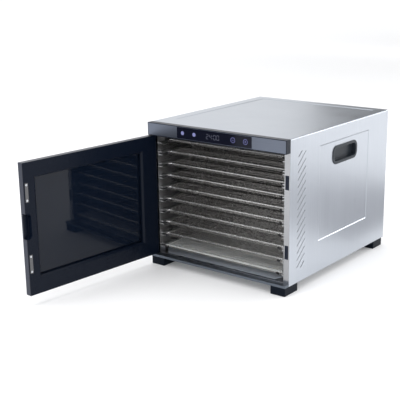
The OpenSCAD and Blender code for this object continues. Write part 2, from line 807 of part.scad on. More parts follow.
// The finger recess in the latch edge, open to the edge and to the inner face
module grip_space() {
    z = door_z0 + grip_z;
    difference() {
        span([half_w - grip_w, face_y + 4, z - grip_l / 2], [half_w + 1, door_in_y + 1, z + grip_l / 2]);
        for (s = [-1, 1]) translate([half_w - grip_w, 0, z + s * grip_l / 2]) rotate([0, -s * 45, 0])
            span([-4, face_y, -4], [4, door_in_y + 2, 4]);
    }
}

module window(m, y0, y1) {
    span([glass_x0 - m, y0, glass_z0 - m], [glass_x1 + m, y1, glass_z1 + m]);
}

// Black inner frame: it holds the glass and ends in a half-round hinge stile
module door_frame() {
    y0 = face_y + skin_t;
    bevel = 4;
    x1 = half_w - skin_t;
    color([0.05, 0.06, 0.08]) swung() difference() {
        union() {
            span([hinge_x, y0, door_z0 + skin_t], [x1, door_in_y, door_z1 - skin_t]);
            span([hinge_x, face_y, door_z0], [skin_x, door_in_y, door_z1]);
            span([skin_x, door_in_y - 2, door_z0], [half_w, door_in_y, door_z1]);
            translate([hinge_x, hinge_y, door_z0]) cylinder(h = door_z1 - door_z0, r = hinge_r);
        }
        window(0, y0 - 1, door_in_y + 1);
        window(glass_lap, y0 - 1, y0 + glass_t + gasket_t);
        translate([0, door_in_y, 0]) rotate([-90, 0, 0])
            pressing([glass_x0 - bevel, -glass_z1 - bevel], [glass_x1 + bevel, -glass_z0 + bevel],
                bevel, bevel);
        grip_space();
        for (z = [door_z0 - 1, door_z1 - pin_reach - 1])
            translate([hinge_x, hinge_y, z]) cylinder(h = pin_reach + 2, r = bush_r);
        for (z = catch_zs, s = [-1, 1])
            rod_y(strike_x + strike_w / 2, z + s * (strike_l / 2 - 4), door_in_y - 6, door_in_y + 1, screw_r);
    }
}

module door_glass() {
    fit = 0.4;
    color([0.10, 0.12, 0.15, 0.55]) swung() window(glass_lap - fit, glass_y0, glass_y0 + glass_t);
}

// Silicone strip between the glass and the frame
module glass_gasket() {
    y = glass_y0 + glass_t;
    color([0.10, 0.10, 0.11]) swung() difference() {
        window(glass_lap - 0.4, y, y + gasket_t);
        window(1.5, y - 1, y + gasket_t + 1);
    }
}

// Brushed steel skin over the door's face, top, bottom and latch edge
module door_skin() {
    color([0.66, 0.68, 0.71]) swung() difference() {
        union() {
            span([skin_x, face_y, door_z0], [half_w, face_y + skin_t, door_z1]);
            span([half_w - skin_t, face_y, door_z0], [half_w, door_in_y - 2, door_z1]);
            for (z = [door_z0, door_z1 - skin_t])
                span([skin_x, face_y, z], [half_w, door_in_y - 2, z + skin_t]);
        }
        window(-2, face_y - 1, face_y + skin_t + 1);
        grip_space();
    }
}

module strike_plates() {
    color([0.75, 0.76, 0.78]) swung() for (z = catch_zs) difference() {
        span([strike_x, door_in_y, z - strike_l / 2],
            [strike_x + strike_w, door_in_y + 0.5, z + strike_l / 2]);
        for (s = [-1, 1])
            rod_y(strike_x + strike_w / 2, z + s * (strike_l / 2 - 4), door_in_y - 1, door_in_y + 1, screw_r);
    }
}

module strike_screws() {
    color([0.60, 0.62, 0.65]) swung() for (z = catch_zs, s = [-1, 1])
        rod_y(strike_x + strike_w / 2, z + s * (strike_l / 2 - 4), door_in_y - 6, door_in_y + 0.5, screw_r);
}

// Nylon bushes in the hinge stile
module hinge_bushes() {
    color([0.85, 0.85, 0.83]) swung() for (z = [door_z0, door_z1 - pin_reach - 1])
        translate([hinge_x, hinge_y, z]) difference() {
            cylinder(h = pin_reach + 1, r = bush_r);
            translate([0, 0, -1]) cylinder(h = pin_reach + 3, r = pin_r + pin_clear);
        }
}

// ---- trays ----

module tray_outline(m) {
    round_rect([-tray_w / 2 + m, m], [tray_w / 2 - m, tray_l - m], tray_corner_r - m);
}

// Wire tray: a rim and a grid of thin wires on three cross wires
module wire_tray(i) {
    z = tray_z(i);
    n = floor((tray_w - 2 * rim_wire) / grid_gap / 2);
    color([0.82, 0.82, 0.80]) translate([0, tray_y(i), z]) union() {
        translate([0, 0, -rim_wire / 2]) linear_extrude(rim_wire)
            difference() { tray_outline(0); tray_outline(rim_wire); }
        translate([0, 0, -grid_wire / 2]) linear_extrude(grid_wire) {
            for (k = [-n : n]) translate([k * grid_gap - grid_wire / 2, rim_wire / 2])
                square([grid_wire, tray_l - rim_wire]);
            for (k = [1 : 3]) translate([-tray_w / 2 + rim_wire / 2, k * tray_l / 4 - grid_wire / 2])
                square([tray_w - rim_wire, grid_wire]);
        }
    }
}

module tray_01() { wire_tray(0); }
module tray_02() { wire_tray(1); }
module tray_03() { wire_tray(2); }
module tray_04() { wire_tray(3); }
module tray_05() { wire_tray(4); }
module tray_06() { wire_tray(5); }
module tray_07() { wire_tray(6); }
module tray_08() { wire_tray(7); }
module tray_09() { wire_tray(8); }
module tray_10() { wire_tray(9); }

// White mesh sheet for small pieces of food, on the grid of the lowest tray
module mesh_sheet() {
    m = rim_wire + 1;
    color([0.93, 0.93, 0.91]) translate([0, tray_y(9), tray_z(9) + grid_wire / 2])
        linear_extrude(mesh_t) tray_outline(m);
}

// Shallow sheet tray under the wire trays, with a sloping lip at the front
module drip_tray() {
    x = tray_w / 2;
    y0 = tray_front + drip_lip;
    y1 = tray_front + tray_l;
    t = 0.8;
    chamfer = drip_lip * 0.9;
    color([0.80, 0.83, 0.86]) union() {
        difference() {
            span([-x, y0, drip_z], [x, y1, drip_z + drip_h]);
            span([-x + t, y0 + t, drip_z + t], [x - t, y1 - t, drip_z + drip_h + 1]);
        }
        intersection() {
            along_x(-x, x) polygon([[y0 + t, drip_z + drip_h - t], [y0 + t, drip_z + drip_h],
                [y0, drip_z + drip_h], [tray_front, drip_z + drip_h - drip_lip_drop],
                [tray_front, drip_z + drip_h - drip_lip_drop - t], [y0, drip_z + drip_h - t]]);
            translate([0, 0, drip_z - 10]) linear_extrude(40)
                polygon([[-x, y1], [-x, y0], [-x + chamfer, tray_front], [x - chamfer, tray_front],
                    [x, y0], [x, y1]]);
        }
    }
}

outer_wrapper();
base_pan();
rear_cover();
liner_left();
liner_right();
liner_top();
liner_floor();
air_baffle();
jamb_left();
jamb_right();
front_sill();
control_housing();
control_fascia();
control_glass();
display_module();
touch_pads();
control_board();
power_board();
wiring_loom();
temperature_probe();
thermal_cutout();
side_handle_left();
side_handle_right();
foot_front_left();
foot_front_right();
foot_rear_left();
foot_rear_right();
foot_screws();
rear_screws();
magnet_catches();
hinge_plates();
hinge_pins();
fan_motor();
motor_bracket();
heater_element();
heater_clips();
cord_gland();
fan_rotor();
fan_shaft();
door_frame();
door_glass();
door_skin();
glass_gasket();
strike_plates();
strike_screws();
hinge_bushes();
tray_01();
tray_02();
tray_03();
tray_04();
tray_05();
tray_06();
tray_07();
tray_08();
tray_09();
tray_10();
mesh_sheet();
drip_tray();
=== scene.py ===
import json
import math

import bpy
from mathutils import Matrix, Vector

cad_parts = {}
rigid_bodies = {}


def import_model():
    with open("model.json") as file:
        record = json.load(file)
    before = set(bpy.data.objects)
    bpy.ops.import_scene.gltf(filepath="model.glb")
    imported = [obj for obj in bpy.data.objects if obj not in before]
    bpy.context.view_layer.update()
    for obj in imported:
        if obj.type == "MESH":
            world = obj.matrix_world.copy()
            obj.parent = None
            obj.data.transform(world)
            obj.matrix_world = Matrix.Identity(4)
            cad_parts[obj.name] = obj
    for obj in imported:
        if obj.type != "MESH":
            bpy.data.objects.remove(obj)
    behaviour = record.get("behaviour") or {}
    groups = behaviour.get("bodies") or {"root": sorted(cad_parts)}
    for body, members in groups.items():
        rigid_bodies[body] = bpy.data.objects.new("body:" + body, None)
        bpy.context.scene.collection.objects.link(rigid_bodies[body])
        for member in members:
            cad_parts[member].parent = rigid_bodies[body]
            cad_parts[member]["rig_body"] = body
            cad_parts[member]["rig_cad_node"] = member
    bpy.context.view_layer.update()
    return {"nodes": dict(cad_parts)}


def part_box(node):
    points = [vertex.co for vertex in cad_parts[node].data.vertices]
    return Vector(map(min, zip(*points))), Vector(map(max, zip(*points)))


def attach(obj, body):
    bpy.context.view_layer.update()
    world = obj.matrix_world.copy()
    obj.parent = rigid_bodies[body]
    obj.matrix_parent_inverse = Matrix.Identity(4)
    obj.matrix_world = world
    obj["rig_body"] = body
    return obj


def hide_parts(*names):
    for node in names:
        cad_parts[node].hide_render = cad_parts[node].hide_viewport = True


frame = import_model()


# ---- Steel case ----
# The top and both sides are one folded sheet of 1 mm stainless steel. It was brushed
# flat, so the grain runs across the top and down the sides, and it is pressed and
# slotted before it is folded.
def only(piece):
    """Selects this object alone and makes it active."""
    if bpy.context.mode != "OBJECT":
        bpy.ops.object.mode_set(mode="OBJECT")
    bpy.ops.object.select_all(action="DESELECT")
    piece.select_set(True)
    bpy.context.view_layer.objects.active = piece


def grained(name, colour, metal, rough, grain, tone=0.05, spread=0.06, relief=0.05,
            depth=0.0001, cloud=7, **sockets):
    """A finish whose colour, gloss and relief follow a grain, with faint handling marks.

    The grain is how fine it is along each axis, tone how far its colour varies, spread
    how far its roughness does, relief and depth its bump, and cloud how fine the marks.
    """
    material = bpy.data.materials.new(name)
    material.use_nodes = True
    tree = material.node_tree
    surface = tree.nodes["Principled BSDF"]
    place = tree.nodes.new("ShaderNodeTexCoord")
    stretch = tree.nodes.new("ShaderNodeMapping")
    stretch.inputs["Scale"].default_value = grain
    fine = tree.nodes.new("ShaderNodeTexNoise")
    fine.inputs["Scale"].default_value = 1
    fine.inputs["Detail"].default_value = 5
    fine.inputs["Roughness"].default_value = 0.65
    marks = tree.nodes.new("ShaderNodeTexNoise")
    marks.inputs["Scale"].default_value = cloud
    marks.inputs["Detail"].default_value = 6
    marks.inputs["Roughness"].default_value = 0.6
    ramp = tree.nodes.new("ShaderNodeMix")
    ramp.data_type = "RGBA"
    ramp.inputs["A"].default_value = (*[c * (1 - tone) for c in colour], 1)
    ramp.inputs["B"].default_value = (*[min(1, c * (1 + tone)) for c in colour], 1)
    gloss = tree.nodes.new("ShaderNodeMapRange")
    gloss.inputs["From Min"].default_value = 0.3
    gloss.inputs["From Max"].default_value = 0.7
    gloss.inputs["To Min"].default_value = rough - spread / 2
    gloss.inputs["To Max"].default_value = rough + spread / 2
    smudge = tree.nodes.new("ShaderNodeMapRange")
    smudge.inputs["From Min"].default_value = 0.35
    smudge.inputs["From Max"].default_value = 0.7
    smudge.inputs["To Min"].default_value = -spread / 2
    smudge.inputs["To Max"].default_value = spread / 2
    both = tree.nodes.new("ShaderNodeMath")
    both.operation = "ADD"
    both.use_clamp = True
    bump = tree.nodes.new("ShaderNodeBump")
    bump.inputs["Strength"].default_value = relief
    bump.inputs["Distance"].default_value = depth
    link = tree.links.new
    link(place.outputs["Object"], stretch.inputs["Vector"])
    link(stretch.outputs["Vector"], fine.inputs["Vector"])
    link(place.outputs["Object"], marks.inputs["Vector"])
    link(fine.outputs["Fac"], ramp.inputs["Factor"])
    link(ramp.outputs["Result"], surface.inputs["Base Color"])
    link(fine.outputs["Fac"], gloss.inputs["Value"])
    link(marks.outputs["Fac"], smudge.inputs["Value"])
    link(gloss.outputs["Result"], both.inputs[0])
    link(smudge.outputs["Result"], both.inputs[1])
    link(both.outputs["Value"], surface.inputs["Roughness"])
    link(fine.outputs["Fac"], bump.inputs["Height"])
    link(bump.outputs["Normal"], surface.inputs["Normal"])
    surface.inputs["Metallic"].default_value = metal
    for socket, value in sockets.items():
        surface.inputs[socket.replace("_", " ")].default_value = value
    return material


def wear(piece, material):
    """Gives a piece one finish all over."""
    piece.data.materials.clear()
    piece.data.materials.append(material)


def coat(material, *nodes):
    """Gives CAD nodes a finish and leaves their shape alone."""
    for node in nodes:
        piece = frame["nodes"][node]
        for place in piece.material_slots:
            place.material = material


def softened(node, material, width, segments=2, angle=24, smooth=30, spare=None):
    """Stands for a CAD node: the same shape with its sharp edges rounded over.

    The width is the rounding's, given to edges sharper than angle, in degrees. Edges
    whose ends both lie in the spare range of Y keep the cut's own sharp rim.
    """
    source = frame["nodes"][node]
    body = source["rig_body"]
    only(source)
    bpy.ops.object.duplicate()
    piece = bpy.context.active_object
    bpy.ops.object.parent_clear(type="CLEAR_KEEP_TRANSFORM")
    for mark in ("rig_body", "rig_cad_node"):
        del piece[mark]
    piece.name = piece.data.name = node + "_finished"
    bpy.ops.mesh.customdata_custom_splitnormals_clear()
    bpy.ops.object.mode_set(mode="EDIT")
    bpy.ops.mesh.select_all(action="SELECT")
    bpy.ops.mesh.remove_doubles(threshold=0.000005)
    bpy.ops.mesh.dissolve_limited(angle_limit=math.radians(0.3))
    bpy.ops.object.mode_set(mode="OBJECT")
    edge = piece.modifiers.new("edge", "BEVEL")
    edge.width = width
    edge.segments = segments
    edge.limit_method = "ANGLE"
    edge.angle_limit = math.radians(angle)
    if spare:
        bpy.ops.object.mode_set(mode="EDIT")
        bpy.ops.mesh.select_mode(type="EDGE")
        bpy.ops.mesh.select_all(action="DESELECT")
        bpy.ops.mesh.edges_select_sharp(sharpness=math.radians(angle))
        bpy.ops.object.mode_set(mode="OBJECT")
        weights = piece.data.attributes.new("bevel_weight_edge", "FLOAT", "EDGE")
        for line in piece.data.edges:
            spared = all(spare[0] < piece.data.vertices[i].co.y < spare[1]
                         for i in line.vertices)
            weights.data[line.index].value = float(line.select and not spared)
        edge.limit_method = "WEIGHT"
    edge.use_clamp_overlap = False
    bpy.ops.object.modifier_apply(modifier="edge")
    bpy.ops.object.shade_smooth_by_angle(angle=math.radians(smooth))
    flats = piece.modifiers.new("flats", "WEIGHTED_NORMAL")
    flats.weight = 100
    flats.keep_sharp = True
    bpy.ops.object.modifier_apply(modifier="flats")
    wear(piece, material)
    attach(piece, body)
    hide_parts(node)
    return piece


case_steel = grained("brushed_case_steel", (0.52, 0.55, 0.595), 1, 0.34, (4, 420, 4),
                     tone=0.10, spread=0.07, relief=0.10, depth=0.00008)
case_lo, case_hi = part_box("outer_wrapper")
louvre_band = (case_lo.y + 0.02, case_lo.y + 0.08)
softened("outer_wrapper", case_steel, 0.00035, angle=18,
         spare=louvre_band)


# ---- Louvre lips ----
# The lower edge of each slanted vent is rolled outwards by the press, so that water
# on the case runs past it. It is the same steel as the case.
vent_angle = math.radians(40)
vent_pitch, vent_length, vent_width = 0.0169, 0.042, 0.002
vent_y = case_lo.y + 0.047
vent_rows = 15
vent_mid = (case_lo.z + case_hi.z) / 2
lip_r, lip_sunk, lip_share = 0.0006, 0.0002, 0.9


def settled():
    """Puts the active object's place, turn and size into its mesh, and returns it."""
    bpy.ops.object.transform_apply(location=True, rotation=True, scale=True)
    return bpy.context.active_object


def eased(width, segments=1):
    """Cuts every edge of the active object back a little."""
    bpy.ops.object.mode_set(mode="EDIT")
    bpy.ops.mesh.select_all(action="SELECT")
    bpy.ops.mesh.bevel(offset=width, segments=segments, affect="EDGES")
    bpy.ops.object.mode_set(mode="OBJECT")


def lip(z):
    """A rolled edge along the lower side of one slot, on the right-hand wall."""
    drop = vent_width / 2
    bpy.ops.mesh.primitive_cylinder_add(
        vertices=10, radius=lip_r, depth=vent_length * lip_share,
        location=(case_hi.x - lip_sunk, vent_y + drop * math.sin(vent_angle),
                  z - drop * math.cos(vent_angle)),
        rotation=(math.radians(90) + vent_angle, 0, 0))
    rod = settled()
    eased(0.0002, segments=2)
    return rod


def joined(parts, name):
    """Joins parts into one object with this name, at the origin."""
    only(parts[0])
    for part in parts:
        part.select_set(True)
    bpy.ops.object.join()
    whole = bpy.context.active_object
    whole.name = whole.data.name = name
    return settled()


lips = [lip(vent_mid + (i - (vent_rows - 1) / 2) * vent_pitch) for i in range(vent_rows)]
right_lips = joined(lips, "louvre_lips_right")
bpy.ops.object.shade_smooth_by_angle(angle=math.radians(40))
bpy.ops.object.duplicate()
left_lips = bpy.context.active_object
left_lips.name = left_lips.data.name = "louvre_lips_left"
left_lips.scale.x = -1
settled()
bpy.ops.object.mode_set(mode="EDIT")
bpy.ops.mesh.select_all(action="SELECT")
bpy.ops.mesh.normals_make_consistent(inside=False)
bpy.ops.object.mode_set(mode="OBJECT")
for piece in (right_lips, left_lips):
    wear(piece, case_steel)
    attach(piece, "cabinet")


# ---- Front sill and side strips ----
# A folded ledge of brushed steel closes the front under the door. Its dark colour is
# painted shade, for the shadow that falls on it under the drip tray. The strips beside
# the opening are bright rolled steel, and the right one carries two magnet catches.
sill_steel_painted_shade = grained("sill_steel_painted_shade", (0.13, 0.15, 0.18), 1, 0.36, (5, 900, 900),
                     tone=0.10, spread=0.10, relief=0.08)
softened("front_sill", sill_steel_painted_shade, 0.0003)
strip_steel = grained("bright_strip_steel", (0.36, 0.365, 0.38), 1, 0.20, (120, 120, 3),
                      tone=0.06, spread=0.08, relief=0.04)
for node in ("jamb_left", "jamb_right"):
    softened(node, strip_steel, 0.0002)
catch_plastic = grained("catch_plastic", (0.006, 0.010, 0.022), 0, 0.36, (900, 900, 900),
                        tone=0.2, spread=0.1, relief=0.15, Specular_IOR_Level=0.2)
softened("magnet_catches", catch_plastic, 0.0003)


# ---- Chamber ----
# The drying chamber is spot-welded from dull stainless sheet. Each side wall carries
# folded runners for the trays, and the rear wall is slotted for the warm air.
chamber_steel = grained("chamber_steel", (0.50, 0.50, 0.51), 1, 0.30, (6, 6, 700),
                        tone=0.08, spread=0.12, relief=0.10)
coat(chamber_steel, "liner_left", "liner_right", "liner_top", "liner_floor", "air_baffle")


# ---- Base, rear cover and fixings ----
# The base pan and the rear cover are zinc-coated sheet with a faint spangle. Pan-head
# screws hold the cover to the flange of the case.
def spangled(name, colour, rough):
    """Zinc-coated sheet: flat crystals of slightly different tone and gloss."""
    material = grained(name, colour, 1, rough, (40, 40, 40), spread=0.1, relief=0.05)
    tree = material.node_tree
    surface = tree.nodes["Principled BSDF"]
    place = next(n for n in tree.nodes if n.type == "TEX_COORD")
    crystal = tree.nodes.new("ShaderNodeTexVoronoi")
    crystal.inputs["Scale"].default_value = 190
    tint = tree.nodes.new("ShaderNodeMix")
    tint.data_type = "RGBA"
    tint.inputs["A"].default_value = (*[c * 0.95 for c in colour], 1)
    tint.inputs["B"].default_value = (*[min(1, c * 1.04) for c in colour], 1)
    split = tree.nodes.new("ShaderNodeSeparateColor")
    tree.links.new(place.outputs["Object"], crystal.inputs["Vector"])
    tree.links.new(crystal.outputs["Color"], split.inputs["Color"])
    tree.links.new(split.outputs["Red"], tint.inputs["Factor"])
    tree.links.new(tint.outputs["Result"], surface.inputs["Base Color"])
    return material


zinc_sheet = spangled("zinc_sheet", (0.56, 0.58, 0.60), 0.38)
softened("base_pan", zinc_sheet, 0.0003)
softened("rear_cover", zinc_sheet, 0.0002)
coat(zinc_sheet, "motor_bracket", "heater_clips")

screw_zinc = grained("screw_zinc", (0.60, 0.62, 0.65), 1, 0.26, (500, 500, 500),
                     tone=0.1, spread=0.1, relief=0.1)


def cross_screw(name, radius, rise, shank, depth):
    """A pan-head screw on the Y axis, its head's underside at the origin, facing -Y."""
    bpy.ops.mesh.primitive_cylinder_add(vertices=32, radius=radius, depth=rise,
                                        location=(0, -rise / 2, 0),
                                        rotation=(math.pi / 2, 0, 0))
    head = settled()
    bpy.ops.object.mode_set(mode="EDIT")
    bpy.ops.mesh.select_mode(type="FACE")
    bpy.ops.mesh.select_all(action="DESELECT")
    bpy.ops.object.mode_set(mode="OBJECT")
    for face in head.data.polygons:
        face.select = face.normal.y < -0.9
    bpy.ops.object.mode_set(mode="EDIT")
    bpy.ops.mesh.bevel(offset=rise * 0.6, segments=4, affect="EDGES")
    bpy.ops.object.mode_set(mode="OBJECT")
    blade_size = (radius * 1.1, rise * 1.2, radius * 0.24)
    for turn in (0, math.pi / 2):
        bpy.ops.mesh.primitive_cube_add(size=1, location=(0, -rise, 0),
                                        rotation=(0, turn, 0), scale=blade_size)
        blade = bpy.context.active_object
        only(head)
        cut = head.modifiers.new("recess", "BOOLEAN")
        cut.operation = "DIFFERENCE"
        cut.solver = "EXACT"
        cut.object = blade
        bpy.ops.object.modifier_apply(modifier="recess")
        bpy.data.objects.remove(blade)
    bpy.ops.mesh.primitive_cylinder_add(vertices=16, radius=shank, depth=depth,
                                        location=(0, depth / 2, 0),
                                        rotation=(math.pi / 2, 0, 0))
    rod = bpy.context.active_object
    eased(shank * 0.2)
    screw = joined([head, rod], name)
    bpy.ops.object.shade_smooth_by_angle(angle=math.radians(35))
    return screw


def copied(source, name, shift):
    """A copy with its own mesh, moved by shift."""
    only(source)
    bpy.ops.object.duplicate()
    piece = bpy.context.active_object
    piece.name = piece.data.name = name
    bpy.ops.transform.translate(value=shift)
    return settled()


cover_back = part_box("rear_cover")[1].y
rear_lo, rear_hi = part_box("rear_screws")
head_r = 0.0034
pattern = cross_screw("screw_pattern", head_r, rise=0.002, shank=0.0016, depth=0.005)
only(pattern)
bpy.ops.transform.rotate(value=math.pi, orient_axis="Z", center_override=(0, 0, 0))
settled()
rows = (rear_lo.z + head_r, vent_mid, rear_hi.z - head_r)
columns = (rear_lo.x + head_r, 0, rear_hi.x - head_r)
# The middle column has a screw in its top row only.
screws = [copied(pattern, "screw", (x, cover_back, z)) for x in columns for z in rows
          if x or z == rows[-1]]
rear_screws = joined(screws, "rear_screws_finished")
wear(rear_screws, screw_zinc)
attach(rear_screws, "cabinet")
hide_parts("rear_screws")
bpy.data.objects.remove(pattern)

gland_nylon = grained("gland_nylon", (0.02, 0.021, 0.024), 0, 0.42, (700, 700, 700),
                      tone=0.2, spread=0.1, relief=0.2)
softened("cord_gland", gland_nylon, 0.0003)


# ---- Feet ----
# Four moulded black feet, screwed up into the base pan. The front pair reaches
# forward under the door.
foot_plastic = grained("foot_plastic", (0.003, 0.006, 0.012), 0, 0.36, (650, 650, 650),
                       tone=0.25, spread=0.14, relief=0.22, depth=0.0002,
                       Specular_IOR_Level=0.08)
for node in ("foot_front_left", "foot_front_right", "foot_rear_left", "foot_rear_right"):
    softened(node, foot_plastic, 0.0012, segments=3)
coat(screw_zinc, "foot_screws")


# ---- Control housing ----
# A dark moulded housing lies across the top of the front. It holds a brushed dark
# aluminium fascia with a black glass strip let into it.
housing_plastic = grained("housing_plastic", (0.006, 0.010, 0.020), 0, 0.34, (800, 800, 800),
                          tone=0.15, spread=0.1, relief=0.12, Specular_IOR_Level=0.25)
softened("control_housing", housing_plastic, 0.0006, segments=3)
fascia_metal = grained("fascia_metal", (0.16, 0.18, 0.225), 1, 0.36, (4, 1200, 1200),
                       tone=0.12, spread=0.08, relief=0.12)
softened("control_fascia", fascia_metal, 0.0002)
strip_glass = grained("control_strip_glass", (0.006, 0.007, 0.014), 0, 0.08, (300, 300, 300),
                      tone=0.1, spread=0.04, relief=0.01, IOR=1.5, Specular_IOR_Level=0.12)
softened("control_glass", strip_glass, 0.0002)


# ---- Key marks and display ----
# Printed marks show where to touch the glass: two filled spots, a ringed minus and a
# ringed plus. The four display digits light up dimly between them.
glass_lo, glass_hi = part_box("control_glass")
mark_z = (glass_lo.z + glass_hi.z) / 2
print_t = 0.00012
mark_y = glass_lo.y - print_t / 2


def lit(name, colour, glow):
    """Pale print with a little light behind it."""
    return grained(name, colour, 0, 0.4, (900, 900, 900), tone=0.08, relief=0.02,
                   Emission_Color=(*colour, 1), Emission_Strength=glow)


def spot(x, radius):
    """A flat round mark with an eased rim."""
    bpy.ops.mesh.primitive_cylinder_add(vertices=48, radius=radius, depth=print_t,
                                        location=(x, mark_y, mark_z),
                                        rotation=(math.pi / 2, 0, 0))
    disc = settled()
    eased(0.00003)
    return disc


def ring(x, radius):
    """A thin printed ring."""
    bpy.ops.mesh.primitive_torus_add(major_segments=48, minor_segments=6,
                                     major_radius=radius, minor_radius=0.00045,
                                     location=(x, mark_y, mark_z),
                                     rotation=(math.pi / 2, 0, 0))
    bpy.context.active_object.scale.z = 0.15
    return settled()


def dash(x, z, wide, high):
    """A flat bar with pointed ends, one stroke of a mark or a digit."""
    bpy.ops.mesh.primitive_cube_add(size=1, location=(x, mark_y, z),
                                    scale=(wide, print_t, high))
    bar = settled()
    bpy.ops.object.mode_set(mode="EDIT")
    bpy.ops.mesh.select_all(action="DESELECT")
    bpy.ops.mesh.select_mode(type="EDGE")
    bpy.ops.object.mode_set(mode="OBJECT")
    for edge in bar.data.edges:
        a, b = (bar.data.vertices[i].co for i in edge.vertices)
        edge.select = abs(a.y - b.y) > print_t * 0.4
    bpy.ops.object.mode_set(mode="EDIT")
    bpy.ops.mesh.bevel(offset=min(wide, high) * 0.42, segments=1, affect="EDGES")
    bpy.ops.object.mode_set(mode="OBJECT")
    return bar


inner_x, outer_x = 0.055, 0.089
spot_r, ring_r, sign_l, sign_t = 0.0046, 0.0056, 0.005, 0.0009
marks = joined([spot(-outer_x, spot_r), spot(-inner_x, spot_r)], "touch_spots")
wear(marks, lit("spot_print", (0.20, 0.21, 0.42), 0.06))
keys = joined([ring(inner_x, ring_r), ring(outer_x, ring_r),
               dash(inner_x, mark_z, sign_l, sign_t), dash(outer_x, mark_z, sign_l, sign_t),
               dash(outer_x, mark_z, sign_t, sign_l)], "touch_rings")
wear(keys, lit("ring_print", (0.15, 0.155, 0.38), 0.06))

# Which of the seven strokes each digit lights: top, upper left, upper right, middle,
# lower left, lower right, bottom.
strokes = {"2": "1011101", "4": "0111010", "0": "1110111"}
digit_w, digit_h, bar = 0.0068, 0.0116, 0.0011
digit_places = (-0.0168, -0.0076, 0.0040, 0.0132)
colon_x, colon_rise = -0.0018, 0.0022


def digit(x, lit_strokes):
    """One seven-stroke digit, its middle at x."""
    half = digit_h / 4
    across, up = digit_w - bar * 1.3, digit_h / 2 - bar * 1.3
    places = [(0, 2 * half - bar / 2, True), (-1, half, False), (1, half, False),
              (0, 0, True), (-1, -half, False), (1, -half, False),
              (0, -2 * half + bar / 2, True)]
    parts = []
    for on, (side, rise, flat) in zip(lit_strokes, places):
        if on == "1":
            size = (across, bar) if flat else (bar, up)
            parts.append(dash(x + side * (digit_w - bar) / 2, mark_z + rise, *size))
    return parts


parts = []
for place, figure in zip(digit_places, "2400"):
    parts += digit(place, strokes[figure])
parts += [dash(colon_x, mark_z + side * colon_rise, bar, bar) for side in (-1, 1)]
digits = joined(parts, "display_digits")
wear(digits, lit("digit_light", (0.08, 0.085, 0.12), 0.03))
for piece in (marks, keys, digits):
    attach(piece, "cabinet")


# ---- Side handles ----
# A moulded dark grip is clipped into each side wall: a rounded flange on the pressed
# panel, and a pocket that reaches up behind the sheet for the fingertips.
handle_plastic = grained("handle_plastic", (0.020, 0.026, 0.034), 0, 0.42, (700, 700, 700),
                         tone=0.12, spread=0.1, relief=0.2, depth=0.00015,
                         Specular_IOR_Level=0.3)
for node in ("side_handle_left", "side_handle_right"):
    softened(node, handle_plastic, 0.0006, segments=3)


# ---- Door ----
# A black moulded frame holds the tinted glass from behind, over a silicone strip. A
# folded skin of brushed steel covers its face and its top, bottom and latch edges.
door_plastic = grained("door_frame_plastic", (0.003, 0.006, 0.014), 0, 0.30, (600, 600, 600),
                       tone=0.2, spread=0.1, relief=0.08, Specular_IOR_Level=0.13)
softened("door_frame", door_plastic, 0.0007, segments=3)
# Painted reflection: the skin's near-black colour stands for the dim surroundings that its
# latch edge mirrors.
door_skin_painted_dark_reflection = grained("door_skin_steel_painted_reflection", (0.055, 0.060, 0.078), 1, 0.33, (1100, 1100, 5),
                     tone=0.08, spread=0.08, relief=0.10)
softened("door_skin", door_skin_painted_dark_reflection, 0.0003)
tinted = grained("tinted_glass", (0.005, 0.009, 0.019), 0, 0.04, (60, 60, 60), tone=0.05,
                 spread=0.02, relief=0.0, cloud=16, IOR=1.5, Transmission_Weight=0.3,
                 Specular_IOR_Level=0.16)
softened("door_glass", tinted, 0.0004)
silicone = grained("silicone", (0.02, 0.02, 0.022), 0, 0.6, (500, 500, 500), relief=0.2)
coat(silicone, "glass_gasket")


# ---- Strike plates ----
# Two dark plated steel plates face the magnets. Each is held by two bright cross-head
# screws, sunk almost flush so that the door still shuts on the catches.
plate_steel = grained("strike_plate_steel", (0.15, 0.15, 0.155), 1, 0.34, (900, 900, 12),
                      tone=0.10, spread=0.1, relief=0.06)
softened("strike_plates", plate_steel, 0.00015)
strike_lo, strike_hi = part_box("strike_plates")
plate_mid = (strike_lo + strike_hi) / 2
# The door stands open 95 degrees, so its inner face looks 85 degrees round from -Y.
door_turn = math.radians(85)
outward = Vector((math.sin(door_turn), -math.cos(door_turn), 0))
plate_half, screw_reach, sunk = 0.021, 0.017, 0.00022
pattern = cross_screw("plate_screw_pattern", radius=0.0026, rise=0.0005, shank=0.0014,
                      depth=0.004)
pattern.rotation_euler.z = door_turn
settled()
heights = [middle + side * screw_reach for side in (-1, 1)
           for middle in (strike_lo.z + plate_half, strike_hi.z - plate_half)]
seat_x, seat_y = plate_mid.x - sunk * outward.x, plate_mid.y - sunk * outward.y
screws = [copied(pattern, "plate_screw", (seat_x, seat_y, height)) for height in heights]
plate_screws = joined(screws, "strike_screws_finished")
wear(plate_screws, screw_zinc)
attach(plate_screws, "door")
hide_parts("strike_screws")
bpy.data.objects.remove(pattern)


# ---- Hinges ----
# The door swings on steel pins in nylon bushes. One steel plate under the ledge and
# one in the control housing hold them.
hinge_steel = grained("hinge_steel", (0.40, 0.41, 0.43), 1, 0.36, (300, 300, 300), tone=0.1)
coat(hinge_steel, "hinge_plates")
coat(plate_steel, "hinge_pins")
nylon = grained("bush_nylon", (0.72, 0.72, 0.68), 0, 0.45, (400, 400, 400), relief=0.1,
                Subsurface_Weight=0.1)
coat(nylon, "hinge_bushes")


